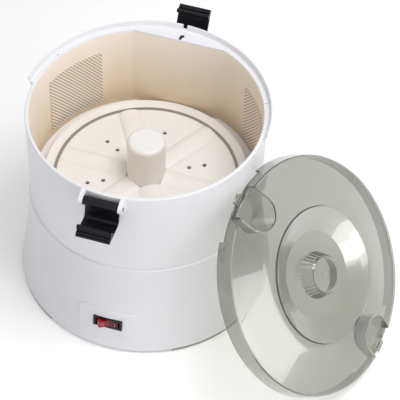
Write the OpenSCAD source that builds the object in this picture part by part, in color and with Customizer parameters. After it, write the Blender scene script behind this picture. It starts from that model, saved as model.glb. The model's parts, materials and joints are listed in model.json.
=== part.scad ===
// Electric potato peeler: a drum on a motor base, a spinning disc inside,
// two swinging latches and a clear lid that stands against the drum.
// Z is up, the switch faces -Y, and Z = 0 is the surface that the feet stand on.

/* [Drum] */
// Outer radius of the drum wall
drum_r = 117; // [115:0.1:120]
// Thickness of the drum wall
drum_wall = 1.9; // [1.6:0.1:2.2]
// Height of the drum rim above the table
rim_z = 217.4; // [205:0.1:230]
// How far the raised collar stands outside the drum wall
collar_out = 4.6; // [4.2:0.1:5]
// Height of the collar above the rim
lip_h = 6.4; // [5.5:0.1:7]
// Thickness of the liner inside the drum
liner_t = 1.6; // [1.4:0.1:2]
// Distance of the liner's flat rear panel from the drum wall
panel_in = 11.6; // [11:0.1:12.5]
// Perpendicular pitch of the slanted ribs
rib_pitch = 2.9; // [2.6:0.1:3.4]
// Slope of the slanted ribs
rib_slope = 51.5; // [45:0.5:58]
// Height of a slanted rib
rib_h = 0.8; // [0.6:0.1:1]

/* [Base] */
// How far the base's foot stands outside the drum wall
base_out = 14; // [12:0.1:16]
// How far the base's shoulder stands outside the drum wall
shoulder_out = 0.8; // [0.6:0.1:1.2]
// Thickness of the base shell
base_wall = 2.6; // [2.2:0.1:3]
// Thickness of the deck that carries the drum
deck_t = 2.8; // [2.4:0.1:3.2]
// Height of the bottom cover above the table
under_z = 2.6; // [2.4:0.1:3]
// Height of the top of the deck
deck_z = 116; // [110:0.1:122]

/* [Switch] */
// Sideways position of the switch
panel_x = 2; // [1:0.1:3]
// Height of the middle of the switch
switch_z = 38.2; // [36:0.1:40]
// Width of the switch bezel
switch_w = 30; // [28:0.1:31]
// Height of the switch bezel
switch_h = 12; // [11:0.1:14]
// Tilt of the rocker as it rests
rocker_tilt = 14; // [12:0.5:14]
// Width of the raised pad round the switch
pad_w = 60; // [56:0.5:64]
// Height of the raised pad
pad_h = 26.8; // [24:0.1:30]
// How far the pad stands out of the base
pad_out = 1.5; // [1:0.1:2]

/* [Latches] */
// Sideways position of the front latch
front_x = -2.8; // [-3:0.1:0]
// Sideways position of the rear latch
rear_x = 1.6; // [0:0.1:2]
// Distance of the hinge pins from the drum wall
hinge_out = 5; // [5:0.1:5.6]
// Depth of the hinge pins below the rim
hinge_drop = 7.4; // [7.2:0.1:7.8]
// Width of a latch
latch_w = 33.2; // [31:0.1:33.4]
// How far the front latch is swung back
front_open = 169; // [150:1:169]
// How far the rear latch is swung back
rear_open = 113; // [95:1:150]

/* [Lid] */
// How far the lid's free edge stands outside the drum wall
lid_out = 2.3; // [2.1:0.1:2.4]
// Thickness of the lid
lid_t = 2; // [1.8:0.1:2.2]
// Height of the lid's skirt
skirt_h = 17; // [16:0.1:17.4]
// How much shorter the skirt is beside the latches
skirt_cut = 5.5; // [5:0.1:6]
// Height of the flat crown
crown_h = 26.4; // [25.5:0.1:27]
// Height of the sunk middle
well_h = 15.8; // [15:0.1:16.4]
// Radius of the knob at its foot
knob_r = 23.6; // [22:0.1:25]
// Number of grooves round the knob
flutes = 32; // [24:1:36]
// Lean of the lid against the drum
lid_lean = 52.7; // [52.7:0.1:52.7]

/* [Drive] */
// Gear module
gear_m = 1.5; // [1.4:0.1:1.6]
// Teeth on the pinion
pinion_n = 12; // [12:1:12]
// Teeth on the main gear
gear_n = 60; // [60:1:60]
// Radius of the spindle
spindle_r = 5; // [4.8:0.1:5.2]
// Radius of the motor shaft
motor_shaft_r = 3; // [2.5:0.1:3.5]
// Radius of the motor can
motor_r = 29; // [27:0.5:30]
// Radius of the cooling fan
fan_r = 26; // [22:0.5:28]
// Thickness of the motor plate
plate_t = 2.5; // [2:0.1:3]
// Gap between the disc and the liner's flat panel
disc_gap = 1; // [0.8:0.1:2]
// Radius of the white centre post
post_r = 19.3; // [19:0.1:20]
// Depth of the top of the centre post below the rim
post_drop = 42.4; // [40:0.1:45]

/* [Hidden] */
$fn = 96;
e = 0.01;
screw_r = 1.48;                     // all screws are 3 mm
in_r = drum_r - drum_wall;          // inside of the drum wall
lin_r = in_r - 0.1;                 // outside of the liner
lin_in = lin_r - liner_t;           // inside of the liner
chord_y = in_r - panel_in;          // flat rear panel of the liner
lip_r = drum_r + collar_out;
base_r = drum_r + base_out;         // radius of the base at its foot
floor_z = deck_z + 0.2;             // underside of the drum
shoulder_r = drum_r + shoulder_out;
knee_z = deck_z - 26;               // where the base starts to flare
deck_in = deck_z - deck_t;          // underside of the deck
slot_x = 1.5;
rod_x = slot_x;
rod_y = in_r - 5.5;
rod_collar_z = rim_z - 47.4;
guide_z = floor_z + 20;             // top of the rod's guide tube
ms_z = deck_z - 36;                 // underside of the microswitch
hinge_r = drum_r + hinge_out;
hinge_z = rim_z - hinge_drop;
pad_x = 0.8;
pad_z = switch_z + 1.2;
gland_z = 24;
gear_c = gear_m * (pinion_n + gear_n) / 2;  // distance between the two shafts
motor_a = 160;                      // direction of the motor from the spindle
mx = gear_c * cos(motor_a);
my = gear_c * sin(motor_a);
gear_a = motor_a + 180 / gear_n;    // turn that meshes the teeth
plate_z = deck_z - 32;              // underside of the motor plate
gear_z = plate_z + 12;              // underside of the main gear
post_c = gear_c + 22;               // radius of the posts that carry the plate
fan_z = under_z + 9.4;
can_z = fan_z + 18;                 // underside of the motor can
post_z = rim_z - post_drop;         // top of the centre post
tube_z = post_z - 19;               // top of the drum's centre tube
seal_z = tube_z - 6.5;
bush_h = min(13.4, (seal_z - floor_z) / 2 - 1);
disc_r = chord_y - disc_gap;
disc_z = floor_z + 7;               // underside of the turning disc
lid_r = drum_r + lid_out;
crown_r = lid_r - 46.1;             // outer edge of the flat crown
lid_dir = -15.9;                    // side on which the lid leans
lid_dist = drum_r - 1.09 + lid_r * cos(lid_lean);
lid_z = lid_r * sin(lid_lean) - 0.31;

// radius of the base at height z
function base_at(z) = z > knee_z
    ? shoulder_r + 0.9 * (deck_z - z) / 26
    : shoulder_r + 0.9 + (base_r - shoulder_r - 0.9) * pow(max(0, 1 - (z - 4) / (knee_z - 4)), 1.15);

boss_r = base_at(28.2) - base_wall - 7;     // radius of the cover screws
gland_y = base_at(gland_z) - 0.8;           // flat seat of the cord gland
panel_y = sqrt(pow(base_at(switch_z) + pad_out, 2) - pow(switch_w / 2, 2));
pad_lean = atan((base_at(switch_z - 7) - base_at(switch_z + 7)) / 14);

module ring(ro, ri, h) {
    difference() {
        cylinder(r = ro, h = h);
        translate([0, 0, -1]) cylinder(r = ri, h = h + 2);
    }
}

// ---- base -------------------------------------------------------------------
// outer face for t = 0, inner face for t = base_wall
module base_profile(t, z0 = under_z) {
    zs = [for (i = [0:10]) 8 + i * (knee_z - 8) / 10];
    polygon(concat(
        [[0, z0], [base_r - t - (t > 0 ? 0 : 1.1), z0], [base_r - t, under_z + 1.4]],
        [for (z = zs) [base_at(z) - t, z]],
        [[base_at(knee_z + 0.01) - t, knee_z + 0.01],
         [shoulder_r - t, (t > 0 ? deck_in : deck_z) - 1.4],
         [shoulder_r - t - 1.2, t > 0 ? deck_in : deck_z], [0, t > 0 ? deck_in : deck_z]]));
}

module base_boss_places() {
    for (a = [40, 140, 220, 320]) rotate([0, 0, a]) translate([boss_r, 0, 0]) children();
}

module post_places() {
    for (a = [40, 115, 205, 280]) rotate([0, 0, a]) translate([post_c, 0, 0]) children();
}

module bowl_screw_places() {
    for (a = [30, 150, 210, 330]) rotate([0, 0, a]) translate([in_r - 18.1, 0, 0]) children();
}

// window of the switch pad, smaller by d all round
module pad_window(d) {
    translate([pad_x, 0, pad_z]) rotate([90, 0, 0]) linear_extrude(height = base_r + 20)
        offset(r = 3.2 - min(d, 1)) square([pad_w - 6.4 - 2 * max(0, d - 1),
            pad_h - 6.4 - 2 * max(0, d - 1)], center = true);
}

// skin that follows the base, out to h outside it
module pad_skin(h) {
    zs = [for (i = [0:8]) pad_z - pad_h / 2 - 1 + i * (pad_h + 2) / 8];
    rotate_extrude($fn = 180) polygon(concat([[90, zs[0]]], [for (z = zs) [base_at(z) + h, z]],
        [[90, zs[8]]]));
}

// places the switch: origin in the middle of its seat, -Y out of the base
module switch_place() {
    translate([panel_x, -panel_y, switch_z]) rotate([-pad_lean, 0, 0]) children();
}

module base_shell() {
    color([0.90, 0.90, 0.91]) difference() {
        union() {
            difference() {
                union() {
                    rotate_extrude($fn = 180) base_profile(0);
                    intersection() {
                        pad_skin(pad_out);
                        pad_window(0);
                    }
                }
                rotate_extrude($fn = 180) base_profile(base_wall, under_z - 1);
                // the pad is hollow behind its face
                intersection() {
                    pad_skin(pad_out - base_wall);
                    pad_window(2.6);
                }
            }
            // posts for the cover screws, on the wall
            base_boss_places() translate([0, 0, under_z + 3.6]) {
                cylinder(r = 5, h = 22);
                translate([0, -2, 0]) cube([8, 4, 22]);
            }
            // posts that carry the motor plate
            post_places() translate([0, 0, plate_z + plate_t])
                cylinder(r = 5.5, h = deck_in + 0.8 - plate_z - plate_t);
            // ribs between the posts and the deck
            post_places() translate([-1.2, -12, deck_in - 9.2]) cube([2.4, 24, 10]);
            // collar round the interlock rod
            translate([rod_x, rod_y, deck_in - 7.2]) cylinder(r = 5, h = 8);
        }
        translate([0, 0, deck_in - 13]) cylinder(r = 20, h = 30);
        translate([rod_x, rod_y, deck_in - 23]) cylinder(r = 3, h = 40);
        bowl_screw_places() translate([0, 0, deck_in - 13]) cylinder(r = 2.2, h = 30);
        post_places() translate([0, 0, plate_z]) cylinder(r = 1.5, h = 22);
        base_boss_places() cylinder(r = 1.5, h = under_z + 21.4);
        // seat and opening for the switch
        switch_place() {
            translate([-switch_w / 2 - 0.3, -12, -switch_h / 2 - 0.3])
                cube([switch_w + 0.6, 12, switch_h + 0.6]);
            translate([-switch_w / 2 + 1.5, -5, -switch_h / 2 + 1]) cube([switch_w - 3, 20, switch_h - 2]);
            translate([-switch_w / 2 - 0.3, 2.6, -switch_h / 2 - 0.3])
                cube([switch_w + 0.6, 14, switch_h + 0.6]);
        }
        // opening for the lead at the rear, with a flat seat on both sides
        translate([0, gland_y + 10, gland_z]) rotate([90, 0, 0]) cylinder(r = 6.5, h = 25);
        translate([0, gland_y + 10, gland_z]) rotate([90, 0, 0]) cylinder(r = 8.8, h = 10);
        translate([0, gland_y - 3.5, gland_z]) rotate([90, 0, 0]) cylinder(r = 8.8, h = 8);
    }
}

module bottom_cover() {
    color([0.80, 0.80, 0.82]) difference() {
        union() {
            translate([0, 0, under_z]) cylinder(r = base_r - base_wall - 0.6, h = 2.4, $fn = 180);
            // raised plate for the rating label, left bare
            translate([-38, -26, under_z - 0.2]) cube([76, 52, 1]);
            // rim that stiffens the cover
            translate([0, 0, under_z + 2.3]) ring(boss_r - 10.5, boss_r - 12.5, 4);
            base_boss_places() translate([0, 0, under_z + 2.3]) cylinder(r = 5, h = 1.3);
        }
        base_boss_places() {
            cylinder(r = 1.8, h = 20);
            cylinder(r = 3.6, h = under_z + 1.4);
        }
        // vents under the fan
        for (i = [-4:4]) translate([mx + i * 6, 60, 0]) cube([2.6, 44, 20], center = true);
        for (i = [-4:4]) translate([-mx + i * 6, 60, 0]) cube([2.6, 44, 20], center = true);
    }
}

module foot_pads() {
    color([0.22, 0.22, 0.23])
        for (a = [-40, 40, 140, 220]) rotate([0, 0, a - 20])
            rotate_extrude(angle = 40, $fn = 180)
                polygon([[base_r - 9.4, 0.4], [base_r - 9, 0], [base_r - 0.8, 0],
                    [base_r - 0.4, 0.4], [base_r - 0.6, under_z], [base_r - 9.4, under_z]]);
}

module cover_screws() {
    color([0.62, 0.62, 0.64]) base_boss_places() {
        difference() {
            translate([0, 0, under_z + 0.1]) cylinder(r = 3.3, h = 1.3, $fn = 32);
            translate([-2.2, -0.35, 0]) cube([4.4, 0.7, under_z + 0.8]);
            translate([-0.35, -2.2, 0]) cube([0.7, 4.4, under_z + 0.8]);
        }
        translate([0, 0, under_z + 1.3]) cylinder(r = screw_r, h = 19, $fn = 32);
    }
}

module cord_gland() {
    color([0.12, 0.12, 0.13]) translate([0, gland_y, gland_z]) rotate([90, 0, 0]) difference() {
        union() {
            translate([0, 0, -2.2]) cylinder(r = 8.6, h = 2.2);
            translate([0, 0, -0.1]) cylinder(r = 6.4, h = 5);
            translate([0, 0, 3.6]) cylinder(r = 8, h = 2.4);
        }
        translate([0, 0, -4]) cylinder(r = 3.2, h = 14);
    }
}

// ---- switch -----------------------------------------------------------------
module switch_housing() {
    w = switch_w / 2;
    h = switch_h / 2;
    color([0.13, 0.12, 0.13]) switch_place() difference() {
        union() {
            translate([-w, -1.8, -h]) cube([2 * w, 1.8, 2 * h]);
            translate([-w + 1.7, -0.1, -h + 1.2]) cube([2 * w - 3.4, 18, 2 * h - 2.4]);
            // spring wings that hold it in the panel
            for (s = [-1, 1]) translate([s * (w - 1.1) - 0.6, 3.0, -2.5]) cube([1.2, 7, 5]);
        }
        translate([-w + 2.3, -5, -h + 2]) cube([2 * w - 4.6, 14, 2 * h - 4]);
        // pivot holes for the rocker
        translate([0, 3.4, -h + 1.5]) cylinder(r = 1.35, h = 2 * h - 3);
    }
}

module rocker() {
    w = switch_w / 2 - 2.7;
    h = switch_h / 2 - 2.2;
    color([0.78, 0.07, 0.07]) switch_place() translate([0, 3.4, 0]) rotate([0, 0, rocker_tilt]) {
        difference() {
            translate([0, 0, -h]) linear_extrude(height = 2 * h) intersection() {
                circle(r = w, $fn = 96);
                polygon([[-w, -9.4], [0, -5], [w, -9.4], [w, 0.6], [3, 3.4], [-3, 3.4],
                    [-w, 0.6]]);
            }
            // marks cut 0.2 mm deep: a bar and a ring
            translate([6, -7.15, 0]) rotate([0, 0, -19.7]) translate([-0.35, -0.4, -2])
                cube([0.7, 0.6, 4]);
            translate([-6, -6.95, 0]) rotate([0, 0, 19.7]) rotate([90, 0, 0]) ring(1.9, 1.3, 1);
        }
        translate([0, 0, -h - 0.6]) cylinder(r = 1.28, h = 2 * h + 1.2, $fn = 32);
    }
}

module switch_terminals() {
    color([0.80, 0.66, 0.34]) switch_place() translate([0, 17.9, 0])
        for (x = [-7, 0, 7]) translate([x - 0.4, 0, -2.6]) difference() {
            cube([0.8, 8, 5.2]);
            translate([-1, 5, 2.6]) rotate([0, 90, 0]) cylinder(r = 0.8, h = 3, $fn = 24);
        }
}

// ---- drum -------------------------------------------------------------------
module lug() {
    // half of a hinge fork: an ear on the drum wall, hinge axis at the origin
    cylinder(r = 4.9, h = 4, $fn = 48);
    linear_extrude(height = 4) polygon([[-10.2, 6.8], [-2.6, 6.8], [1.9, 4.5], [4.2, -2.5],
        [-1.5, -4.7], [-10.2, -9]]);
}

module lug_pair() {
    for (x = [-21.2, 17.2]) translate([x, hinge_r, hinge_z])
        rotate([90, 0, 90]) lug();
}

module bowl_shell() {
    color([0.92, 0.92, 0.93]) difference() {
        union() {
            // wall, floor and rim
            rotate_extrude($fn = 180) polygon([
                [0, floor_z], [drum_r - 0.9, floor_z], [drum_r - 0.2, floor_z + 0.3],
                [drum_r, floor_z + 1], [drum_r, rim_z - 0.7], [drum_r - 0.7, rim_z],
                [lin_in + 0.9, rim_z], [lin_in + 0.4, rim_z - 0.5], [lin_in + 0.4, rim_z - 2.3],
                [in_r, rim_z - 2.3], [in_r, floor_z + 2.6], [0, floor_z + 2.6]]);
            // centre tube that keeps water out of the drive
            translate([0, 0, floor_z]) cylinder(r = 12.6, h = tube_z - floor_z);
            // shelf over the flat panel
            intersection() {
                translate([0, 0, rim_z - 2.3]) cylinder(r = in_r + 0.5, h = 2.3);
                translate([-60, chord_y, floor_z]) cube([120, 30, 120]);
            }
            // collar round the rear half
            rotate_extrude(angle = 180, $fn = 180) polygon([
                [in_r + 0.8, rim_z - 5.9], [drum_r, rim_z - 5.9], [lip_r - 2.2, rim_z - 2.6],
                [lip_r - 0.8, rim_z + 1.6], [lip_r, rim_z + lip_h - 0.8],
                [lip_r - 0.6, rim_z + lip_h - 0.1], [lip_r - 1.3, rim_z + lip_h - 0.2],
                [lip_r - 1.8, rim_z + lip_h - 0.9], [lip_r - 2.3, rim_z],
                [in_r + 0.8, rim_z]]);
            // guide tube for the interlock rod
            translate([rod_x, rod_y, floor_z]) cylinder(r = 4.1, h = guide_z - floor_z);
            difference() {
                union() {
                    translate([rear_x, 0, 0]) lug_pair();
                    translate([front_x, 0, 0]) rotate([0, 0, 180]) lug_pair();
                }
                translate([0, 0, rim_z - 27.4]) cylinder(r = in_r + 0.5, h = 40, $fn = 180);
            }
            bowl_screw_places() translate([0, 0, floor_z + 1]) cylinder(r = 4.5, h = 5);
        }
        // bore for the bushes and the seal
        translate([0, 0, floor_z - 10]) cylinder(r = spindle_r + 3, h = tube_z + 20 - floor_z);
        translate([rod_x, rod_y, floor_z - 2]) cylinder(r = 3, h = 60);
        bowl_screw_places() translate([0, 0, floor_z - 1]) cylinder(r = 1.5, h = 5.6);
        for (s = [-1, 1]) translate([-30, s * hinge_r, hinge_z]) rotate([0, 90, 0])
            cylinder(r = 2.01, h = 60, $fn = 48);
        // key-shaped slot over the interlock rod
        translate([slot_x, rod_y, rim_z - 3]) cylinder(r = 2.3, h = 5, $fn = 32);
        translate([slot_x - 2.4, rod_y - 5.2, rim_z - 3]) cube([2.9, 5.2, 5]);
        // notch in the collar
        translate([slot_x - 2.3, lip_r - 6, rim_z + 1.2]) cube([4.4, 12, 9]);
        // shallow line round the slot
        translate([slot_x, rod_y, rim_z - 0.4]) ring(6.1, 5.4, 2);
        // small moulding holes in the ledge
        for (s = [-1, 1]) rotate([0, 0, 90 + s * 67.5]) translate([drum_r - 0.6, 0, rim_z - 1.5])
            cylinder(r = 1.1, h = 4, $fn = 24);
    }
}

module rib_patch() {
    // slanted ribs on a raised field: flat plates cut by the ring just inside the liner
    intersection() {
        union() {
            translate([0, 0, floor_z + 5]) ring(lin_in + 0.3, lin_in - 0.12, 78);
            intersection() {
                translate([0, 0, floor_z + 5]) ring(lin_in + 0.3, lin_in - rib_h, 78);
                rotate([0, 0, 30.5]) translate([lin_in - 12, 0, floor_z + 44])
                    rotate([-rib_slope, 0, 0]) for (i = [-17:17])
                        translate([0, -100, i * rib_pitch - 0.65]) cube([22, 200, 1.3]);
            }
        }
        rotate([0, 0, 30.5]) intersection() {
            translate([0, 0, floor_z + 9.8]) {
                rotate([0, 0, 17.5]) translate([0, -200, 0]) cube([200, 200, 68.5]);
            }
            rotate([0, 0, -17.5]) cube([200, 200, 300]);
        }
    }
}

module bowl_liner() {
    color([0.88, 0.86, 0.82]) union() {
        translate([0, 0, floor_z + 2.62]) intersection() {
            difference() {
                cylinder(r = lin_r, h = rim_z - 2.32 - floor_z - 2.62, $fn = 180);
                intersection() {
                    translate([0, 0, -1]) cylinder(r = lin_in, h = 200, $fn = 180);
                    translate([-150, chord_y - 300, -1]) cube([300, 300, 300]);
                }
            }
            translate([-150, chord_y + liner_t - 300, -1]) cube([300, 300, 300]);
        }
        rib_patch();
        mirror([1, 0, 0]) rib_patch();
    }
}

module bowl_screws() {
    color([0.62, 0.62, 0.64]) bowl_screw_places() {
        translate([0, 0, deck_in - 2.35]) cylinder(r = 3.8, h = 2.3, $fn = 32);
        translate([0, 0, deck_in - 0.1]) cylinder(r = screw_r, h = 7.4, $fn = 32);
    }
}

// ---- latches ----------------------------------------------------------------
module hinge_pin() {
    rotate([0, 90, 0]) translate([0, 0, -21.5]) cylinder(r = 2, h = 43, $fn = 48);
}

module hinge_pin_front() {
    color([0.10, 0.10, 0.11]) translate([front_x, -hinge_r, hinge_z]) hinge_pin();
}

module hinge_pin_rear() {
    color([0.10, 0.10, 0.11]) translate([rear_x, hinge_r, hinge_z]) hinge_pin();
}

// closed shape of a latch, hinge at the origin, the drum on the -Y side
module latch() {
    w = latch_w;
    difference() {
        union() {
            rotate([0, 90, 0]) translate([0, 0, -w / 2 - 0.3])
                cylinder(r = 4.4, h = w + 0.6, $fn = 48);
            translate([-w / 2, 0, 0]) rotate([90, 0, 90]) linear_extrude(height = w) {
                // upright plate, outside the pin
                polygon([[4.4, -0.5], [5.3, 5], [5.6, 10], [5.6, 18], [3.2, 18], [3.2, 8],
                    [2.6, 3.4], [1, 0], [3, -2.5]]);
                // bend over the lid's edge
                intersection() {
                    translate([-0.9, 17.9]) difference() {
                        circle(r = 6.5, $fn = 96);
                        circle(r = 4.1, $fn = 96);
                    }
                    translate([-0.9, 17.9]) square([8, 8]);
                }
                // arm with a beaded edge
                polygon([[-0.8, 22], [-0.8, 24.4], [-12.7, 25.9], [-19.8, 27.75],
                    [-20.4, 25.1], [-12.5, 23.5]]);
                translate([-20, 26.4]) circle(r = 1.35, $fn = 40);
                // web that carries the hook bar
                polygon([[-14.5, 20.3], [-13.9, 23.9], [-18.3, 24.9], [-17.7, 20.4]]);
            }
            // hook bar, a little wider than the plate
            translate([-w / 2 - 0.4, -16.1, 19.1]) rotate([0, 90, 0])
                cylinder(r = 2.1, h = w + 0.8, $fn = 40);
            // stiffening lip along the arm
            translate([-w / 2, -18.9, 23.9]) rotate([0, 90, 0])
                cylinder(r = 1.2, h = w, $fn = 32);
        }
        rotate([0, 90, 0]) translate([0, 0, -w]) cylinder(r = 2.07, h = 2 * w, $fn = 48);
        // dimple in the inner corner
        translate([-0.4, -0.9, 17.9]) rotate([-45, 0, 0]) translate([0, 0, 3.2])
            cylinder(r = 1.2, h = 1.5, $fn = 24);
        // finger hollow in the outer face of the arm
        translate([0, -12.5, 29.4]) rotate([0, 90, 0]) translate([0, 0, -w / 2 + 4])
            cylinder(r = 4.4, h = w - 8, $fn = 64);
    }
}

module latch_front() {
    color([0.10, 0.10, 0.11]) translate([front_x, -hinge_r, hinge_z])
        rotate([0, 0, 180]) rotate([-front_open, 0, 0]) latch();
}

module latch_rear() {
    color([0.10, 0.10, 0.11]) translate([rear_x, hinge_r, hinge_z])
        rotate([-rear_open, 0, 0]) latch();
}

// ---- interlock --------------------------------------------------------------
module interlock_rod() {
    low = ms_z + 16.9;
    color([0.10, 0.10, 0.11]) translate([rod_x, rod_y, 0]) {
        translate([0, 0, low]) cylinder(r = 2.7, h = rim_z - 2.9 - low, $fn = 40);
        translate([0, 0, rod_collar_z]) cylinder(r = 4.1, h = 2, $fn = 40);
        translate([0, 0, rim_z - 3]) cylinder(r = 2.05, h = 2.7, $fn = 40);
        translate([-2.2, -4, rim_z - 6.9]) cube([2.4, 4, 6.6]);
    }
}

// one unbroken coil, its points computed from the pitch
module coil(r, wire, turns, height) {
    n = 8 * turns;
    s = 6;
    pts = [for (i = [0:n]) for (k = [0:s - 1])
        let (a = i * 45, q = k * 60, rr = r + wire * cos(q))
        [rr * cos(a), rr * sin(a), height * i / n + wire * sin(q)]];
    polyhedron(points = pts, faces = concat(
        [[for (k = [0:s - 1]) s - 1 - k]],
        [[for (k = [0:s - 1]) n * s + k]],
        [for (i = [0:n - 1]) for (k = [0:s - 1])
            [i * s + k, i * s + (k + 1) % s, (i + 1) * s + k]],
        [for (i = [0:n - 1]) for (k = [0:s - 1])
            [i * s + (k + 1) % s, (i + 1) * s + (k + 1) % s, (i + 1) * s + k]]));
}

module interlock_spring() {
    // from the guide tube up to the collar on the rod
    color([0.72, 0.72, 0.74]) translate([rod_x, rod_y, guide_z + 0.45])
        coil(3.5, 0.42, 9, rod_collar_z - guide_z - 0.9);
}

module microswitch() {
    color([0.10, 0.10, 0.11]) difference() {
        union() {
            translate([rod_x - 10, rod_y - 13.5, ms_z]) cube([20, 10, 12]);
            translate([rod_x - 1.4, rod_y - 10, ms_z + 11.9]) cube([2.8, 4, 1.6]);
            // bracket up to the deck
            translate([rod_x - 10, rod_y - 16, ms_z]) cube([20, 2.6, deck_in - 0.05 - ms_z]);
        }
        for (s = [-1, 1]) translate([rod_x + s * 6, rod_y, ms_z + 4]) rotate([90, 0, 0])
            translate([0, 0, 3]) cylinder(r = 1.3, h = 14, $fn = 32);
    }
    color([0.75, 0.75, 0.77]) translate([rod_x - 2, rod_y - 10, ms_z + 13.5]) cube([4, 14, 0.7]);
}

// ---- drive ------------------------------------------------------------------
// spur gear outline, straight-sided teeth with room between them
module gear2d(n, m, slim) {
    rp = n * m / 2;
    ro = rp + m * 0.92;
    rr = rp - m * 1.2;
    q = 360 / n;
    polygon([for (i = [0:n - 1]) for (p = [[rr, -0.34], [rp, -0.235 + slim], [ro, -0.11],
        [ro, 0.11], [rp, 0.235 - slim], [rr, 0.34]])
        [p[0] * cos((i + p[1]) * q), p[0] * sin((i + p[1]) * q)]]);
}

module motor_plate() {
    color([0.70, 0.70, 0.72]) difference() {
        translate([0, 0, plate_z]) cylinder(r = post_c + 5, h = plate_t);
        translate([0, 0, plate_z - 1]) cylinder(r = spindle_r + 3.5, h = plate_t + 2);
        translate([mx, my, plate_z - 1]) cylinder(r = gear_m * pinion_n / 2 + 2, h = plate_t + 2);
        post_places() translate([0, 0, plate_z - 1]) cylinder(r = 2, h = plate_t + 2);
        motor_screw_places() translate([0, 0, plate_z - 1]) cylinder(r = 2, h = plate_t + 2);
        for (a = [60, 340, 240]) rotate([0, 0, a]) translate([gear_c - 4, 0, plate_z - 1])
            cylinder(r = 14, h = plate_t + 2);
    }
}

module motor_screw_places() {
    for (a = [45, 135, 225, 315]) translate([mx, my, 0]) rotate([0, 0, a])
        translate([motor_r - 7, 0, 0]) children();
}

module plate_screws() {
    color([0.62, 0.62, 0.64]) post_places() {
        translate([0, 0, plate_z - 2.2]) cylinder(r = 3.6, h = 2.2, $fn = 32);
        translate([0, 0, plate_z - 0.1]) cylinder(r = screw_r, h = 18, $fn = 32);
    }
}

module motor_can() {
    color([0.45, 0.46, 0.48]) difference() {
        translate([mx, my, 0]) union() {
            translate([0, 0, can_z]) cylinder(r = motor_r, h = plate_z - can_z);
            translate([0, 0, can_z - 6]) cylinder(r = 12, h = 6.1);
            // laminated pack stands proud of the end bells
            translate([0, 0, can_z + 14]) cylinder(r = motor_r + 2, h = plate_z - can_z - 30);
        }
        translate([mx, my, can_z + 2]) cylinder(r = motor_r - 2.5, h = plate_z - can_z - 14);
        translate([mx, my, can_z - 10]) cylinder(r = motor_shaft_r + 0.05, h = 70, $fn = 48);
        for (a = [0:45:315]) translate([mx, my, 0]) rotate([0, 0, a])
            translate([motor_r - 3, 0, can_z + 7]) cube([12, 9, 6], center = true);
        motor_screw_places() translate([0, 0, plate_z - 10]) cylinder(r = 1.5, h = 20, $fn = 32);
    }
}

module motor_screws() {
    color([0.62, 0.62, 0.64]) motor_screw_places() {
        translate([0, 0, plate_z + plate_t]) cylinder(r = 3.2, h = 2, $fn = 32);
        translate([0, 0, plate_z - 7]) cylinder(r = screw_r, h = plate_t + 7.1, $fn = 32);
    }
}

module motor_shaft() {
    color([0.74, 0.74, 0.76]) translate([mx, my, 0]) {
        translate([0, 0, fan_z - 2]) cylinder(r = motor_shaft_r, h = gear_z + 14 - fan_z, $fn = 48);
        // rotor pack
        translate([0, 0, can_z + 4]) cylinder(r = motor_r - 8, h = plate_z - can_z - 20);
    }
}

module pinion() {
    color([0.66, 0.62, 0.50]) translate([mx, my, gear_z - 2]) rotate([0, 0, motor_a + 180])
        difference() {
            union() {
                linear_extrude(height = 14) gear2d(pinion_n, gear_m, 0);
                translate([0, 0, -4]) cylinder(r = motor_shaft_r + 3.4, h = 4.1);
            }
            translate([0, 0, -5]) cylinder(r = motor_shaft_r + e, h = 30, $fn = 48);
        }
}

module fan() {
    color([0.20, 0.20, 0.22]) translate([mx, my, fan_z]) difference() {
        union() {
            cylinder(r = motor_shaft_r + 4, h = 8);
            cylinder(r = fan_r, h = 1.6);
            for (a = [0:40:320]) rotate([0, 0, a]) translate([motor_shaft_r + 3, -0.7, 0])
                cube([fan_r - motor_shaft_r - 3, 1.4, 8]);
        }
        translate([0, 0, -1]) cylinder(r = motor_shaft_r + e, h = 12, $fn = 48);
    }
}

module main_gear() {
    rp = gear_m * gear_n / 2;
    color([0.90, 0.88, 0.80]) translate([0, 0, gear_z]) rotate([0, 0, gear_a])
        difference() {
            union() {
                linear_extrude(height = 10) gear2d(gear_n, gear_m, 0);
                translate([0, 0, -5]) cylinder(r = spindle_r + 8, h = 19);
            }
            translate([0, 0, -6]) cylinder(r = spindle_r + e, h = 30);
            for (s = [-1, 1]) translate([0, 0, s > 0 ? 7 : -3]) ring(rp - 7, spindle_r + 11, 6);
            for (a = [0:60:300]) rotate([0, 0, a]) translate([rp - 18, 0, -1]) cylinder(r = 6, h = 12);
            // flat for the drive pin
            translate([-1.5, -spindle_r - 9, -6]) cube([3, 2 * spindle_r + 18, 4]);
        }
}

module spindle() {
    color([0.76, 0.76, 0.78]) {
        difference() {
            translate([0, 0, plate_z - 5]) cylinder(r = spindle_r, h = post_z - plate_z);
            // groove for the clip
            translate([0, 0, plate_z + 5.8]) ring(spindle_r + 2, spindle_r - 0.8, 1.1);
        }
        // cross pin that drives the gear
        rotate([0, 0, gear_a]) translate([0, spindle_r + 7.6, gear_z - 3.5]) rotate([90, 0, 0])
            cylinder(r = 1.45, h = 2 * spindle_r + 15.2, $fn = 32);
        // six-sided head that drives the disc
        translate([0, 0, tube_z + 2]) cylinder(r = spindle_r + 1.8, h = 13, $fn = 6);
    }
}

module spindle_clip() {
    color([0.30, 0.30, 0.32]) translate([0, 0, plate_z + 5.85]) difference() {
        ring(spindle_r + 2.4, spindle_r - 0.79, 1);
        translate([0, -1.6, -1]) cube([10, 3.2, 3]);
    }
}

module bush(z, h) {
    translate([0, 0, z]) ring(spindle_r + 2.98, spindle_r + 0.04, h);
}

module drum_bushes() {
    color([0.72, 0.52, 0.30]) {
        bush(floor_z + 0.2, bush_h);
        bush(seal_z - 0.1 - bush_h, bush_h);
    }
}

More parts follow.
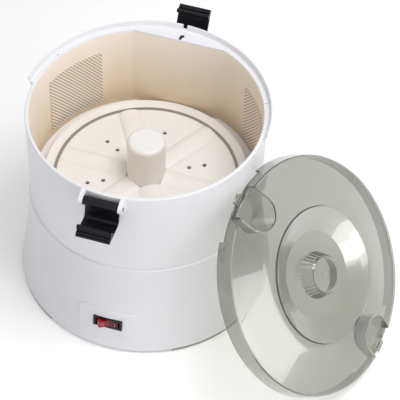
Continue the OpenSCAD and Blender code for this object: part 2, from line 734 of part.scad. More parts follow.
module plate_bush() {
    color([0.72, 0.52, 0.30]) difference() {
        union() {
            translate([0, 0, plate_z - 1.5]) cylinder(r = spindle_r + 3.48, h = plate_t + 1.6);
            translate([0, 0, plate_z + plate_t])
                cylinder(r = spindle_r + 6.5, h = 5.7 - plate_t);
        }
        translate([0, 0, plate_z - 3]) cylinder(r = spindle_r + 0.04, h = 12);
    }
}

module shaft_seal() {
    color([0.16, 0.16, 0.17]) translate([0, 0, seal_z]) difference() {
        union() {
            cylinder(r = spindle_r + 2.98, h = 6.4);
            translate([0, 0, 6.5]) cylinder(r = spindle_r + 4.4, h = 0.8);
            translate([0, 0, 6]) cylinder(r = spindle_r + 2.6, h = 0.6);
        }
        translate([0, 0, -1]) cylinder(r = spindle_r + 0.05, h = 10);
    }
}

module turntable() {
    color([0.93, 0.93, 0.93]) difference() {
        union() {
            // dished disc
            rotate_extrude($fn = 180) polygon([[0, disc_z], [disc_r - 2, disc_z],
                [disc_r, disc_z + 1], [disc_r, disc_z + 5], [disc_r - 3, disc_z + 5],
                [disc_r - 8, disc_z + 2.6], [0, disc_z + 2.6]]);
            // centre post with a rounded top edge
            rotate_extrude($fn = 120) union() {
                square([post_r - 5, post_z - 0.001]);
                translate([0, disc_z]) square([post_r, post_z - 5 - disc_z]);
                translate([0, post_z - 5.1]) intersection() {
                    translate([post_r - 5, 0.1]) circle(r = 5, $fn = 64);
                    square([post_r, 6]);
                }
            }
            // waves that tumble the load
            for (a = [0:60:300]) rotate([0, 0, a]) intersection() {
                translate([post_r - 1, 0, disc_z - 13.4]) rotate([0, 90, 0])
                    cylinder(r = 20, h = disc_r - post_r - 13);
                translate([0, -20, disc_z + 2]) cube([disc_r, 40, 10]);
            }
        }
        translate([0, 0, -e]) cylinder(r = post_r + 20, h = disc_z);
        // hollow that drops over the centre tube
        translate([0, 0, disc_z - 1]) cylinder(r = 14.2, h = tube_z + 2.6 - disc_z);
        // six-sided socket for the spindle head
        translate([0, 0, tube_z + 1]) cylinder(r = spindle_r + 2, h = 14, $fn = 6);
        // drain holes
        for (a = [30:60:330]) rotate([0, 0, a]) for (r = [44, 60])
            translate([r, 0, disc_z - 1]) cylinder(r = 2.2, h = 12, $fn = 24);
    }
}

module abrasive_ring() {
    color([0.55, 0.53, 0.50]) translate([0, 0, disc_z + 2.65])
        ring(disc_r - 9, disc_r - 12, 0.8);
}

// ---- lid --------------------------------------------------------------------
module lid_section(d) {
    // d = 0 gives the outer face, d = lid_t the inner one
    polygon([[0, d == 0 ? 0 : -1], [lid_r - d, d == 0 ? 0 : -1],
        [lid_r - d, 1.6], [lid_r - 1.8 - d, skirt_h - 1.6 - d * 0.35],
        [lid_r - 3 - d, skirt_h + 0.1 - d * 0.9], [crown_r - d * 0.2, crown_h - d],
        [crown_r - 7 + d * 0.6, crown_h - d], [crown_r - 8.2 + d * 0.6, crown_h - 0.8 - d],
        [crown_r - 30.1 + d * 0.6, well_h - d], [0, well_h - d]]);
}

module d_shape(grow, h) {
    // flat side towards the skirt, round end towards the middle
    translate([0, lid_r - 19.4, 0]) cylinder(r = 19.5 + grow, h = h, $fn = 96);
    translate([-19.5 - grow, lid_r - 19.4, 0]) cube([39 + 2 * grow, 17.2 + grow, h]);
}

module lid_body() {
    difference() {
        union() {
            difference() {
                rotate_extrude($fn = 180) lid_section(0);
                translate([0, 0, -e]) rotate_extrude($fn = 180) lid_section(lid_t);
            }
            // walls and floors of the two latch pockets
            for (a = [0, 180]) rotate([0, 0, a]) intersection() {
                translate([0, 0, 6]) d_shape(0, 30);
                rotate_extrude($fn = 180) lid_section(0);
            }
            // tapered knob with grooves
            difference() {
                union() {
                    translate([0, 0, well_h - 0.5])
                        cylinder(r1 = knob_r, r2 = knob_r - 4.2, h = 11.7);
                    translate([0, 0, well_h + 11.15])
                        cylinder(r1 = knob_r - 4.2, r2 = knob_r - 5.6, h = 1.3);
                }
                for (i = [0:flutes - 1]) rotate([0, 0, i * 360 / flutes])
                    translate([knob_r + 0.7, 0, well_h - 0.5]) rotate([0, -19.7, 0])
                        translate([0, 0, -3]) cylinder(r = 1.35, h = 20, $fn = 20);
            }
            // small ledges on the skirt, in front of the pockets
            for (a = [0, 180]) rotate([0, 0, a]) translate([-6, lid_r - 3, 7])
                cube([12, 7.4, 2.4]);
        }
        for (a = [0, 180]) rotate([0, 0, a]) {
            translate([0, 0, 8]) d_shape(-1.8, 40);
            // the skirt is lower in front of a pocket
            translate([-17.7, lid_r - 12, 12]) cube([35.4, 20, 30]);
        }
        // the knob is hollow from below
        translate([0, 0, well_h - 6]) cylinder(r1 = knob_r - 1.6, r2 = knob_r - 6.8, h = 16.4);
        translate([0, 0, well_h + 11.6]) cylinder(r = 5.6, h = 3);
        // shorter skirt beside the latches
        for (a = [0, 180]) rotate([0, 0, a]) translate([0, 0, -1]) intersection() {
            ring(lid_r + 3, lid_r - 10.9, skirt_cut + 1);
            rotate([0, 0, 69]) cube([150, 150, 30]);
            rotate([0, 0, 21]) cube([150, 150, 30]);
        }
    }
}

module lid() {
    color([0.75, 0.77, 0.76, 0.45])
        rotate([0, 0, lid_dir]) translate([lid_dist, 0, lid_z]) rotate([0, 0, -lid_dir])
            rotate([lid_lean, 0, 90 + lid_dir]) rotate([0, 0, 14]) lid_body();
}

base_shell();
bottom_cover();
foot_pads();
cover_screws();
cord_gland();
switch_housing();
rocker();
switch_terminals();
bowl_shell();
bowl_liner();
bowl_screws();
hinge_pin_front();
hinge_pin_rear();
latch_front();
latch_rear();
interlock_rod();
interlock_spring();
microswitch();
motor_plate();
plate_screws();
motor_can();
motor_screws();
motor_shaft();
pinion();
fan();
main_gear();
spindle();
plate_bush();
drum_bushes();
shaft_seal();
spindle_clip();
turntable();
abrasive_ring();
lid();
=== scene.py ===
"""Finishes, small pieces and a studio for an electric potato peeler.

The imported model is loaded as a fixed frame, in metres, with Z up and the switch facing -Y.
Each operator dresses one group of pieces, and main calls them in order.
"""

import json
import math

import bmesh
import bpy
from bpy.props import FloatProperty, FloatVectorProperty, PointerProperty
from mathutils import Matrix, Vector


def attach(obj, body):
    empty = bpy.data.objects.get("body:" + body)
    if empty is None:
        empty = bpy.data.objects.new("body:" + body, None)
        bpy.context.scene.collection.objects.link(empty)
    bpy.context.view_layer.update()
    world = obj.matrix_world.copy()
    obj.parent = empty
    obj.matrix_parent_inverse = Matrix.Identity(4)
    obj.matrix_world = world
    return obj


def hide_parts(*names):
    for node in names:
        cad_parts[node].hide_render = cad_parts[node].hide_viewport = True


bl_info = {
    "name": "Potato Peeler Dressing",
    "version": (1, 0, 0),
    "blender": (4, 5, 0),
    "location": "View3D > Sidebar > Peeler",
    "description": "Finishes, small pieces and a studio for an electric potato peeler",
    "category": "Object",
}

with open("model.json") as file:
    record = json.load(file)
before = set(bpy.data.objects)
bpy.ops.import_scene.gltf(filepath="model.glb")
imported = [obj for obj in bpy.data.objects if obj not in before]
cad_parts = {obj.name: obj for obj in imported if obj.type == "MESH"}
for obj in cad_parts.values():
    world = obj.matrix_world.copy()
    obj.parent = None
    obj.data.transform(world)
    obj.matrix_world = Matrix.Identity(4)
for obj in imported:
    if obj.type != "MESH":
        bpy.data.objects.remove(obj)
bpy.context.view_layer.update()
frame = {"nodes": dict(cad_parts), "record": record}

MM = 0.001
SHARP = math.radians(40)        # edges that fold by more than this are rounded
LID_SMOOTH = math.radians(24)   # the lid's creases are finer than those of the other pieces
RING_SIDES = 48
FLOOR_REACH = 6                 # half the floor's side, in metres
FLOOR_WHITE = (0.93, 0.93, 0.93, 1)
PAINTED_SHADE_DARK = (0.004, 0.001, 0.002, 1)  # near black painted shade on the rocker's lower end

# a box round the outline of the pad that carries the switch, low and high corner
PAD_BOX = ((-0.0305, -0.14, 0.0225), (0.0325, -0.11, 0.0545))
# heights over which the liner's painted warm bounce light and shade fade out towards the rim, and
# the rocker's painted lit and shaded ends
BOUNCE_SHADE_Z = (0.122, 0.214)
ROCKER_SHADE_X = (-0.008, 0.008)


def linear(*srgb):
    """A screen colour from 0 to 255 as the linear colour that a shader takes."""
    return tuple(round(((c / 255 + 0.055) / 1.055) ** 2.4 if c > 10 else c / 255 / 12.92, 4)
                 for c in srgb)


def colour(name, rgb, about):
    """A colour that the user may change."""
    return FloatVectorProperty(name=name, description=about, default=rgb, size=3, min=0, max=1,
                               subtype="COLOR")


def share(name, value, about, low=0.0, high=1.0):
    """A plain number that the user may change."""
    return FloatProperty(name=name, description=about, default=value, min=low, max=high,
                         subtype="FACTOR")


def length(name, value, about):
    """A length in metres that the user may change."""
    return FloatProperty(name=name, description=about, default=value, min=0, precision=5,
                         subtype="DISTANCE", unit="LENGTH")


# ---- what a user may change ------------------------------------------------------------------
class PeelerColours(bpy.types.PropertyGroup):
    """Colours of the finishes."""

    base_white: colour("Base", linear(230, 230, 235), "White of the motor base")
    drum_white: colour("Drum", linear(235, 235, 239), "White of the drum and its collar")
    # liner_top and liner_low: the fade between them is painted warm bounce light and shade, darker
    # and warmer towards the disc
    liner_top: colour("Liner, top", linear(248, 238, 226), "Liner near the rim")
    liner_low: colour("Liner, bottom", linear(230, 208, 176), "Liner near the disc")
    # painted highlight on the tops of the liner's ribs
    rib_highlight: colour("Ribs", linear(250, 240, 230), "Tops of the liner's ribs")
    post_white: colour("Disc and post", linear(240, 238, 236), "White of the turning disc")
    latch_black: colour("Latches", linear(20, 20, 25), "Black of the latches")
    bezel_black: colour("Bezel", linear(24, 22, 24), "Black of the switch housing")
    rocker_red: colour("Rocker", linear(170, 4, 6), "Red of the rocker")
    mark_pink: colour("Marks", linear(226, 150, 150), "Bar and ring on the rocker")
    lid_tint: colour("Lid", linear(168, 169, 161), "Tint of the clear lid")
    foot_grey: colour("Feet", linear(150, 148, 142), "Rubber of the feet")
    cover_grey: colour("Bottom cover", linear(205, 205, 208), "Plastic of the bottom cover")
    grit: colour("Grit", linear(150, 146, 138), "Abrasive ring on the disc")


class PeelerSizes(bpy.types.PropertyGroup):
    """Sizes of the small things that this script adds."""

    pad_edge: length("Pad rounding", 1.2 * MM, "Rounding of the raised pad round the switch")
    smooth_angle: FloatProperty(name="Smoothing angle", default=math.radians(28),
                                description="Faces that meet at less than this shade as one",
                                subtype="ANGLE", unit="ROTATION")
    liner_r: length("Liner radius", 113.4 * MM, "Inside of the liner")
    panel_y: length("Rear panel", 103.5 * MM, "Place of the liner's flat rear panel")
    field_rise: length("Field limit", 0.1 * MM, "Nearer than this the wall is a rib field")
    rib_rise: length("Rib limit", 0.4 * MM, "Nearer than this the wall is a rib")
    mark_x: length("Mark offset", 6 * MM, "From the rocker's pivot to a mark, along the rocker")
    mark_out: length("Mark reach", 6.94 * MM, "From the rocker's pivot to a mark, outwards")
    mark_rise: length("Mark height", 0.12 * MM, "How proud the rocker's marks stand")
    mark_sink: length("Mark depth", 0.03 * MM, "How deep the rocker's marks sit in it")
    ring_out: length("Ring, outside", 1.86 * MM, "Outer radius of the ring")
    ring_in: length("Ring, inside", 1.34 * MM, "Inner radius of the ring")
    bar_w: length("Bar width", 0.62 * MM, "Width of the bar")
    bar_h: length("Bar height", 3.9 * MM, "Height of the bar")
    rocker_rest: FloatProperty(name="Rocker tilt", default=math.radians(14), subtype="ANGLE",
                               unit="ROTATION", description="Tilt of the rocker at rest")
    rocker_slope: FloatProperty(name="Rocker slope", default=math.radians(19.7), subtype="ANGLE",
                                unit="ROTATION", description="Slope of the rocker's two faces")


class PeelerStudio(bpy.types.PropertyGroup):
    """Camera and lamps."""

    azimuth: FloatProperty(name="Azimuth", default=math.radians(18.5), subtype="ANGLE",
                           unit="ROTATION", description="Turn of the camera round the drum")
    elevation: FloatProperty(name="Elevation", default=math.radians(47.9), subtype="ANGLE",
                             unit="ROTATION", description="Height angle of the camera")
    distance: length("Distance", 1.6, "From the camera to the middle of the drum")
    target_z: length("Target height", 0.11, "Height of the point the camera is set by")
    focal_px: FloatProperty(name="Focal length in pixels", default=1578.0,
                            description="Focal length in pixels of a frame 400 wide")
    offset_x: FloatProperty(name="Target left of centre", default=53.7,
                            description="Pixels from the target to the middle of the frame")
    offset_y: FloatProperty(name="Target above centre", default=15.7,
                            description="Pixels from the target to the middle of the frame")
    fill: share("Sky fill", 0.47, "Strength of the sky as a lamp", 0, 4)
    floor_lift: share("Floor lift", 0.2, "Light added to the floor as the camera sees it")
    far_lift: share("Far floor lift", 0.56, "The same, away from the lamps")


# ---- helpers ---------------------------------------------------------------------------------
def group(kind):
    """One of the scene's property groups."""
    return getattr(bpy.context.scene, "peeler_" + kind)


def rgba(name):
    """One of the user's colours, as a shader takes it."""
    return (*getattr(group("colours"), name), 1.0)


class Tree:
    """A material's nodes, made and wired in one line each."""

    def __init__(self, name):
        self.mat = bpy.data.materials.new(name)
        self.mat.use_nodes = True
        self.nodes = self.mat.node_tree.nodes
        self.links = self.mat.node_tree.links
        self.nodes.clear()
        self.out = self.nodes.new("ShaderNodeOutputMaterial")
        self.coord = self.nodes.new("ShaderNodeTexCoord").outputs["Object"]

    def add(self, kind, inputs=(), **settings):
        """A node with its settings, and inputs given as (socket, value or output)."""
        node = self.nodes.new("ShaderNode" + kind)
        for key, value in settings.items():
            setattr(node, key, value)
        for socket, value in dict(inputs).items():
            if isinstance(value, bpy.types.NodeSocket):
                self.links.new(value, node.inputs[socket])
            else:
                node.inputs[socket].default_value = value
        return node

    def noise(self, scale, detail=3.0, rough=0.5, stretch=None):
        """Noise on the piece, with scale in features per metre."""
        at = self.coord
        if stretch:
            at = self.add("Mapping", {"Vector": at, "Scale": stretch}).outputs[0]
        return self.add("TexNoise", {"Vector": at, "Scale": scale, "Detail": detail,
                                     "Roughness": rough}).outputs["Fac"]

    def span(self, value, low, high, start=0.35, stop=0.65):
        """Maps start..stop of a value to low..high."""
        return self.add("MapRange", {"Value": value, "From Min": start, "From Max": stop,
                                     "To Min": low, "To Max": high}).outputs[0]

    def blend(self, fac, a, b):
        """Mixes two colours by a value."""
        node = self.add("Mix", data_type="RGBA")
        for socket, value in zip((0, 6, 7), (fac, a, b)):
            if isinstance(value, bpy.types.NodeSocket):
                self.links.new(value, node.inputs[socket])
            else:
                node.inputs[socket].default_value = value
        return node.outputs[2]

    def bump(self, height, distance, strength=1.0):
        """A bump whose full height is distance, in metres."""
        return self.add("Bump", {"Height": height, "Distance": distance,
                                 "Strength": strength}).outputs[0]

    def finish(self, inputs):
        """Ends the tree in one Principled shader."""
        shader = self.add("BsdfPrincipled", inputs)
        self.links.new(shader.outputs[0], self.out.inputs["Surface"])
        return self.mat


def tone(rgb, factor):
    """A colour made lighter or darker."""
    return (*(min(1.0, c * factor) for c in rgb[:3]), 1.0)


def moulded(name, rgb, rough=0.32, spread=0.06, mottle=0.02, grain=0.00002, grain_scale=900,
            shine=0.5):
    """Moulded plastic: faint flow mottling, uneven gloss and a fine grain."""
    t = Tree(name)
    flow = t.span(t.noise(14, 4, stretch=(1, 1, 0.5)), 0, 1)
    base = t.blend(flow, tone(rgb, 1 - mottle), tone(rgb, 1 + mottle))
    gloss = t.span(t.noise(45, 5), rough - spread, rough + spread)
    return t.finish({"Base Color": base, "Roughness": gloss, "Specular IOR Level": shine,
                     "Normal": t.bump(t.noise(grain_scale, 2), grain)})


def metal(name, rgb, rough=0.3, lines=(1, 1, 12), scale=400):
    """Machined or plated metal with fine tool lines."""
    t = Tree(name)
    streak = t.noise(scale, 3, stretch=lines)
    base = t.blend(t.span(t.noise(30, 4), 0, 1), tone(rgb, 0.92), tone(rgb, 1.06))
    return t.finish({"Base Color": base, "Metallic": 1.0,
                     "Roughness": t.span(streak, rough - 0.08, rough + 0.1),
                     "Normal": t.bump(streak, 0.00001)})


def liner_finish():
    """Drum liner with painted light: painted warm bounce light and shade make it warmer and darker
    towards the disc, the rib tops get a painted highlight and the fields between them painted
    shade.
    """
    t = Tree("liner_satin")
    part = t.add("SeparateXYZ", {"Vector": t.coord}).outputs
    # painted warm bounce light and shade: liner_low at the disc fading to liner_top at the rim,
    # with noise breaking up the fade
    rise = t.span(part["Z"], 0, 1, *BOUNCE_SHADE_Z)
    shade_wobble = t.span(t.noise(22, 5, 0.6, stretch=(1, 1, 0.35)), -0.08, 0.08)
    mixed = t.add("Math", {0: rise, 1: shade_wobble}, operation="ADD", use_clamp=True).outputs[0]
    base = t.blend(mixed, rgba("liner_low"), rgba("liner_top"))
    # the ribs and the field between them stand nearer to the axis than the plain wall does; the
    # field gets painted shade, a darkened liner_low, and the rib tops a painted highlight
    flat = t.add("VectorMath", {0: t.coord, 1: (1, 1, 0)}, operation="MULTIPLY").outputs[0]
    radius = t.add("VectorMath", {0: flat}, operation="LENGTH").outputs["Value"]
    sizes = group("sizes")
    curved = t.add("Math", {0: part["Y"], 1: sizes.panel_y - 0.5 * MM},
                   operation="LESS_THAN").outputs[0]
    for depth, shade in ((sizes.field_rise, tone(rgba("liner_low"), 0.72)),
                         (sizes.rib_rise, rgba("rib_highlight"))):
        near = t.add("Math", {0: radius, 1: sizes.liner_r - depth},
                     operation="LESS_THAN").outputs[0]
        near = t.add("Math", {0: near, 1: curved}, operation="MULTIPLY").outputs[0]
        base = t.blend(near, base, shade)
    return t.finish({"Base Color": base, "Roughness": t.span(t.noise(60, 4), 0.36, 0.5),
                     "Specular IOR Level": 0.4,
                     "Normal": t.bump(t.noise(700, 2), 0.00003)})


def clear_finish():
    """Clear styrene with a smoky tint and a soft sheen; lamps reach what is behind it."""
    t = Tree("lid_clear")
    tint = rgba("lid_tint")
    wave = t.noise(35, 3, stretch=(1, 1, 1))
    glass = t.add("BsdfPrincipled", {
        "Base Color": tint, "Transmission Weight": 1.0, "IOR": 1.49,
        "Roughness": t.span(t.noise(60, 3), 0.015, 0.05), "Specular IOR Level": 0.1,
        "Coat Weight": 1.0, "Coat IOR": 1.5, "Coat Roughness": 0.22,
        "Normal": t.bump(wave, 0.00004)})
    window = t.add("BsdfTransparent", {"Color": tone(tint, 1.25)})
    lamp = t.add("LightPath").outputs["Is Shadow Ray"]
    mix = t.add("MixShader", {0: lamp, 1: glass.outputs[0], 2: window.outputs[0]})
    t.links.new(mix.outputs[0], t.out.inputs["Surface"])
    return t.mat


def rocker_finish():
    """Clear red cap with painted light: bright red at its raised, lit end, fading along X into near
    black painted shade at the other end.
    """
    t = Tree("rocker_red")
    red = rgba("rocker_red")
    across = t.add("SeparateXYZ", {"Vector": t.coord}).outputs["X"]
    # painted shade: the red fades to near black across the rocker along X
    depth = t.span(across, 1, 0.12, *ROCKER_SHADE_X)
    return t.finish({"Base Color": t.blend(depth, PAINTED_SHADE_DARK, red),
                     "Roughness": t.span(t.noise(220, 3), 0.1, 0.16),
                     "Specular IOR Level": 0.3, "Coat Weight": 0.15, "Coat Roughness": 0.06,
                     "Normal": t.bump(t.noise(500, 2), 0.00001)})


def grit_finish():
    """Abrasive: glued mineral grains of two tones."""
    t = Tree("grit")
    cell = t.add("TexVoronoi", {"Vector": t.coord, "Scale": 1400.0})
    grain = cell.outputs["Distance"]
    rgb = rgba("grit")
    return t.finish({"Base Color": t.blend(t.span(t.noise(1500, 2), 0, 1), tone(rgb, 0.6),
                                           tone(rgb, 1.3)),
                     "Roughness": t.span(grain, 0.95, 0.7, 0, 0.6),
                     "Normal": t.bump(grain, 0.0003)})


def rubber_finish():
    """Foot rubber with a dusty, pitted skin."""
    t = Tree("foot_rubber")
    rgb = rgba("foot_grey")
    pits = t.noise(800, 4, 0.7)
    return t.finish({"Base Color": t.blend(t.span(pits, 0, 1), tone(rgb, 0.85), tone(rgb, 1.1)),
                     "Roughness": t.span(pits, 0.7, 0.9), "Normal": t.bump(pits, 0.0001)})


def body_of_node(node):
    """The body that a CAD node rides on."""
    for body, nodes in frame["record"]["behaviour"]["bodies"].items():
        if node in nodes:
            return body
    raise RuntimeError("no body holds " + node)


def paint(node, mat):
    """Gives a CAD node a finish in its own material slots."""
    obj = frame["nodes"][node]
    if not obj.material_slots:
        raise RuntimeError(node + " has no material slot")
    for s in obj.material_slots:
        s.link = "OBJECT"
        s.material = mat


def place(bm, name, body, mat, angle=None):
    """Turns a bmesh into a piece that rides on a body."""
    angle = group("sizes").smooth_angle if angle is None else angle
    for f in bm.faces:
        f.smooth = True
    for e in bm.edges:
        e.smooth = not (len(e.link_faces) == 2 and e.calc_face_angle(0) > angle)
    mesh = bpy.data.meshes.new(name)
    bm.to_mesh(mesh)
    bm.free()
    obj = bpy.data.objects.new(name, mesh)
    bpy.context.scene.collection.objects.link(obj)
    mesh.materials.append(mat)
    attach(obj, body)
    return obj


def refine(node, name, mat, edge=None, angle=None, within=None):
    """A copy of a CAD node with joined faces, smooth shading and rounded edges.

    The rounding can be kept to the edges whose middles lie within a (low, high) box.
    """
    bm = bmesh.new()
    bm.from_mesh(frame["nodes"][node].data)
    bmesh.ops.remove_doubles(bm, verts=bm.verts, dist=2e-6)
    bmesh.ops.dissolve_degenerate(bm, edges=bm.edges, dist=1e-6)
    if edge:
        weight = bm.edges.layers.float.new("bevel_weight_edge")
        for e in bm.edges:
            at = (e.verts[0].co + e.verts[1].co) / 2
            inside = within is None or all(a <= b <= c for a, b, c in zip(within[0], at, within[1]))
            if inside and len(e.link_faces) == 2 and e.calc_face_angle(0) > SHARP:
                e[weight] = 1.0
    obj = place(bm, name, body_of_node(node), mat, angle)
    if edge:
        mod = obj.modifiers.new("rounding", "BEVEL")
        mod.width = edge
        mod.segments = 3
        mod.limit_method = "WEIGHT"
        mod.use_clamp_overlap = True
        mod.harden_normals = False
    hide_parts(node)
    return obj


def aim(obj, target):
    """Points a lamp or camera at a place."""
    obj.rotation_mode = "QUATERNION"
    obj.rotation_quaternion = (Vector(target) - obj.location).to_track_quat("-Z", "Y")


def shown_rays(nodes, links):
    """1 for rays that show the background: seen directly, in metal or through the lid."""
    path = nodes.new("ShaderNodeLightPath")
    seen = path.outputs["Is Camera Ray"]
    for ray in ("Is Glossy Ray", "Is Transmission Ray"):
        both = nodes.new("ShaderNodeMath")
        both.operation = "MAXIMUM"
        links.new(seen, both.inputs[0])
        links.new(path.outputs[ray], both.inputs[1])
        seen = both.outputs[0]
    return seen


# ---- pieces ----------------------------------------------------------------------------------
class PEELER_OT_shells(bpy.types.Operator):
    """Dress the base, the drum and the liner"""

    bl_idname = "peeler.shells"
    bl_label = "Base, drum and liner"

    def execute(self, context):
        base = moulded("base_gloss", rgba("base_white"), 0.3, 0.015, 0.006)
        drum = moulded("drum_gloss", rgba("drum_white"), 0.3, 0.015, 0.006)
        refine("base_shell", "motor_base", base, group("sizes").pad_edge, within=PAD_BOX)
        refine("bowl_shell", "drum", drum)
        refine("bowl_liner", "liner", liner_finish())
        return {"FINISHED"}


class PEELER_OT_disc(bpy.types.Operator):
    """Dress the turning disc and its abrasive ring"""

    bl_idname = "peeler.disc"
    bl_label = "Disc"

    def execute(self, context):
        refine("turntable", "disc", moulded("disc_gloss", rgba("post_white"), 0.34, 0.06, 0.01))
        paint("abrasive_ring", grit_finish())
        return {"FINISHED"}


class PEELER_OT_latches(bpy.types.Operator):
    """Dress the latches and their pins"""

    bl_idname = "peeler.latches"
    bl_label = "Latches"

    def execute(self, context):
        black = moulded("latch_satin", rgba("latch_black"), 0.33, 0.05, 0.06, 0.00002, 1200,
                        shine=0.2)
        steel = metal("pin_steel", linear(90, 90, 94), 0.35)
        for side in ("front", "rear"):
            refine("latch_" + side, side + "_latch", black)
            paint("hinge_pin_" + side, steel)
        return {"FINISHED"}


class PEELER_OT_switch(bpy.types.Operator):
    """Dress the rocker switch and add its two marks"""

    bl_idname = "peeler.switch"
    bl_label = "Switch"

    def execute(self, context):
        black = moulded("bezel_satin", rgba("bezel_black"), 0.4, 0.06, 0.08, 0.00002, 1500,
                        shine=0.3)
        refine("switch_housing", "switch_frame", black)
        refine("rocker", "rocker_cap", rocker_finish())
        self.marks()
        paint("switch_terminals", metal("terminal_brass", linear(205, 172, 96), 0.3))
        return {"FINISHED"}

    def marks(self):
        """Fills the rocker's two grooves: a ring on its raised end and a bar on the other."""
        sizes = group("sizes")
        joint = next(j for j in frame["record"]["behaviour"]["joints"]
                     if j["name"] == "power_rocker")
        up, across = Vector(joint["axis"]).normalized(), Vector((1, 0, 0))
        pose = Matrix((across, up.cross(across), up)).transposed().to_4x4()
        pose = (Matrix.Translation(joint["pos_m"]) @ pose
                @ Matrix.Rotation(sizes.rocker_rest, 4, "Z"))
        pink = moulded("mark_paint", rgba("mark_pink"), 0.45, 0.05, 0.03)

        def end(side):
            """The middle of the rocker's left (-1) or right (1) face, with Z out of it."""
            return (pose @ Matrix.Translation((side * sizes.mark_x, -sizes.mark_out, 0))
                    @ Matrix.Rotation(-side * sizes.rocker_slope, 4, "Z")
                    @ Matrix.Rotation(math.pi / 2, 4, "X"))

        bm = bmesh.new()
        loops = []
        for radius, z in ((sizes.ring_out, -sizes.mark_sink), (sizes.ring_in, -sizes.mark_sink),
                          (sizes.ring_in, sizes.mark_rise), (sizes.ring_out, sizes.mark_rise)):
            loops.append([bm.verts.new((radius * math.cos(a), radius * math.sin(a), z))
                          for a in (i * math.tau / RING_SIDES for i in range(RING_SIDES))])
        for near, far in zip(loops, loops[1:] + loops[:1]):
            for i in range(RING_SIDES):
                j = (i + 1) % RING_SIDES
                bm.faces.new((near[i], near[j], far[j], far[i]))
        bmesh.ops.recalc_face_normals(bm, faces=bm.faces)
        bm.transform(end(-1))
        place(bm, "mark_ring", "rocker_body", pink)

        bm = bmesh.new()
        deep = sizes.mark_rise + sizes.mark_sink
        middle = Matrix.Translation((0, 0, (sizes.mark_rise - sizes.mark_sink) / 2))
        bmesh.ops.create_cube(bm, size=1,
                              matrix=middle @ Matrix.Diagonal((sizes.bar_w, sizes.bar_h, deep, 1)))
        bm.transform(end(1))
        place(bm, "mark_bar", "rocker_body", pink)


class PEELER_OT_underside(bpy.types.Operator):
    """Dress the feet, the bottom cover, its screws and the lead's gland"""

    bl_idname = "peeler.underside"
    bl_label = "Underside"

    def execute(self, context):
        refine("foot_pads", "feet", rubber_finish())
        refine("bottom_cover", "floor_cover",
               moulded("cover_matte", rgba("cover_grey"), 0.5, 0.08, 0.03, 0.00005, 1500))
        refine("cord_gland", "lead_gland",
               moulded("gland_matte", rgba("latch_black"), 0.5, 0.08, 0.08, 0.00004, 1400))
        steel = metal("screw_steel", linear(176, 177, 180), 0.28)
        for node in ("cover_screws", "bowl_screws", "plate_screws", "motor_screws"):
            paint(node, steel)
        return {"FINISHED"}


class PEELER_OT_drive(bpy.types.Operator):
    """Dress the motor, gears, shafts and bushes"""

    bl_idname = "peeler.drive"
    bl_label = "Drive"

    def execute(self, context):
        black = moulded("drive_black", rgba("latch_black"), 0.45, 0.08, 0.1)
        finishes = {
            "motor_plate": metal("zinc_plate", linear(196, 197, 200), 0.38, (1, 8, 1), 200),
            "motor_can": moulded("motor_paint", linear(112, 114, 120), 0.42, 0.06, 0.05),
            "motor_shaft": metal("ground_steel", linear(205, 206, 208), 0.18),
            "pinion": metal("pinion_brass", linear(200, 176, 120), 0.28),
            "main_gear": moulded("gear_nylon", linear(232, 228, 212), 0.42, 0.06, 0.03),
            "plate_bush": metal("bronze", linear(182, 132, 88), 0.4),
            "shaft_seal": moulded("seal_rubber", linear(40, 40, 42), 0.62, 0.08, 0.1),
            "fan": black,
            "microswitch": black,
            "interlock_rod": black,
            "interlock_spring": metal("spring_wire", linear(190, 190, 194), 0.25),
        }
        finishes["spindle"] = finishes["motor_shaft"]
        finishes["drum_bushes"] = finishes["plate_bush"]
        finishes["spindle_clip"] = finishes["interlock_spring"]
        for node, mat in finishes.items():
            paint(node, mat)
        return {"FINISHED"}


class PEELER_OT_lid(bpy.types.Operator):
    """Dress the clear lid"""

    bl_idname = "peeler.lid"
    bl_label = "Lid"

    def execute(self, context):
        refine("lid", "clear_lid", clear_finish(), angle=LID_SMOOTH)
        return {"FINISHED"}


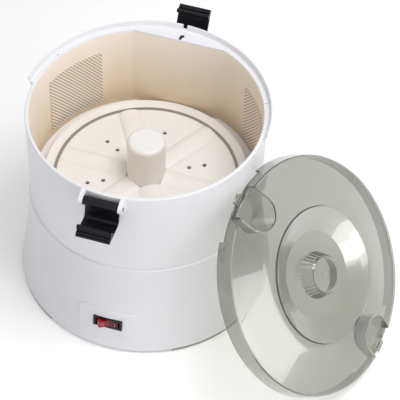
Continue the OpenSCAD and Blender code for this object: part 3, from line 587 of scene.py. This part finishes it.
class PEELER_OT_stage(bpy.types.Operator):
    """Make the floor, the sky, the lamps and the camera"""

    bl_idname = "peeler.stage"
    bl_label = "Studio"

    def execute(self, context):
        scene = context.scene
        studio = group("studio")
        scene.view_settings.view_transform = "Standard"

        bm = bmesh.new()
        bmesh.ops.create_grid(bm, x_segments=8, y_segments=8, size=FLOOR_REACH)
        mesh = bpy.data.meshes.new("floor")
        bm.to_mesh(mesh)
        bm.free()
        floor = bpy.data.objects.new("floor", mesh)
        scene.collection.objects.link(floor)
        t = Tree("floor_paper")
        # far from the lamps the floor needs more of it to stay white
        away = t.add("VectorMath", {0: t.coord}, operation="LENGTH").outputs["Value"]
        lift = t.span(away, studio.floor_lift, studio.far_lift, 0.45, 1.6)
        lift = t.add("Math", {0: lift, 1: shown_rays(t.nodes, t.links)},
                     operation="MULTIPLY").outputs[0]
        mesh.materials.append(t.finish({"Base Color": FLOOR_WHITE, "Roughness": 0.9,
                                        "Specular IOR Level": 0.1,
                                        "Emission Color": (1, 1, 1, 1),
                                        "Emission Strength": lift}))

        world = bpy.data.worlds.new("sky")
        world.use_nodes = True
        nodes, links = world.node_tree.nodes, world.node_tree.links
        nodes.clear()
        seen = shown_rays(nodes, links)
        level = nodes.new("ShaderNodeMapRange")
        links.new(seen, level.inputs["Value"])
        level.inputs["To Min"].default_value = studio.fill
        level.inputs["To Max"].default_value = 1.0
        sky = nodes.new("ShaderNodeBackground")
        links.new(level.outputs[0], sky.inputs["Strength"])
        sky.inputs["Color"].default_value = (1, 1, 1, 1)
        out = nodes.new("ShaderNodeOutputWorld")
        links.new(sky.outputs[0], out.inputs["Surface"])
        scene.world = world

        # name, place, target, size, power, whether it lights matt surfaces
        lamps = (
            ("key", (0.5, -0.1, 1.5), (0, 0, 0.1), 0.7, 0.7, 11.5, True),
            ("front", (-0.7, -1.9, 0.55), (0, 0, 0.1), 1.4, 0.9, 2, True),
            ("side", (1.45, -0.9, 0.7), (0, 0, 0.1), 0.8, 0.8, 6.5, True),
            ("sheen", (1.61, -0.38, 0.41), (0.18, -0.05, 0.1), 0.9, 0.8, 8.5, False),
        )
        for name, at, target, wide, high, power, matt in lamps:
            data = bpy.data.lights.new(name, "AREA")
            data.shape = "RECTANGLE"
            data.size, data.size_y = wide, high
            data.energy = power
            lamp = bpy.data.objects.new(name, data)
            scene.collection.objects.link(lamp)
            lamp.location = at
            lamp.visible_diffuse = matt
            aim(lamp, target)

        data = bpy.data.cameras.new("camera")
        data.sensor_width = 36
        data.lens = 36 * studio.focal_px / 400
        camera = bpy.data.objects.new("camera", data)
        scene.collection.objects.link(camera)
        a, e = studio.azimuth, studio.elevation
        back = Vector((math.sin(a) * math.cos(e), -math.cos(a) * math.cos(e), math.sin(e)))
        right = Vector((math.cos(a), math.sin(a), 0))
        up = back.cross(right)
        look = (-back * studio.focal_px + right * studio.offset_x
                - up * studio.offset_y).normalized()
        turn = (-back).rotation_difference(look)
        basis = Matrix((right, up, back)).transposed()
        camera.rotation_mode = "QUATERNION"
        camera.rotation_quaternion = turn @ basis.to_quaternion()
        camera.location = Vector((0, 0, studio.target_z)) + back * studio.distance
        scene.camera = camera
        return {"FINISHED"}


class PEELER_PT_panel(bpy.types.Panel):
    """The peeler's pieces, finishes and studio"""

    bl_idname = "PEELER_PT_panel"
    bl_label = "Potato peeler"
    bl_space_type = "VIEW_3D"
    bl_region_type = "UI"
    bl_category = "Peeler"

    def draw(self, context):
        for op in OPERATORS:
            self.layout.operator(op.bl_idname)
        for kind in GROUPS:
            box = self.layout.box()
            box.label(text=kind.capitalize())
            values = group(kind)
            for name in values.__annotations__:
                box.prop(values, name)


GROUPS = {"colours": PeelerColours, "sizes": PeelerSizes, "studio": PeelerStudio}
OPERATORS = (PEELER_OT_shells, PEELER_OT_disc, PEELER_OT_latches, PEELER_OT_switch,
             PEELER_OT_underside, PEELER_OT_drive, PEELER_OT_lid, PEELER_OT_stage)


def register():
    """Adds the classes and the scene's property groups."""
    for cls in (*GROUPS.values(), *OPERATORS, PEELER_PT_panel):
        bpy.utils.register_class(cls)
    for kind, cls in GROUPS.items():
        setattr(bpy.types.Scene, "peeler_" + kind, PointerProperty(type=cls))


def unregister():
    """Takes them away again."""
    for kind in GROUPS:
        delattr(bpy.types.Scene, "peeler_" + kind)
    for cls in reversed((*GROUPS.values(), *OPERATORS, PEELER_PT_panel)):
        bpy.utils.unregister_class(cls)


def main():
    """Dresses the frame in order."""
    register()
    for op in OPERATORS:
        step = getattr(bpy.ops.peeler, op.bl_idname.split(".")[1])
        if step() != {"FINISHED"}:
            raise RuntimeError(op.bl_label + " didn't finish")


if __name__ == "__main__":
    main()
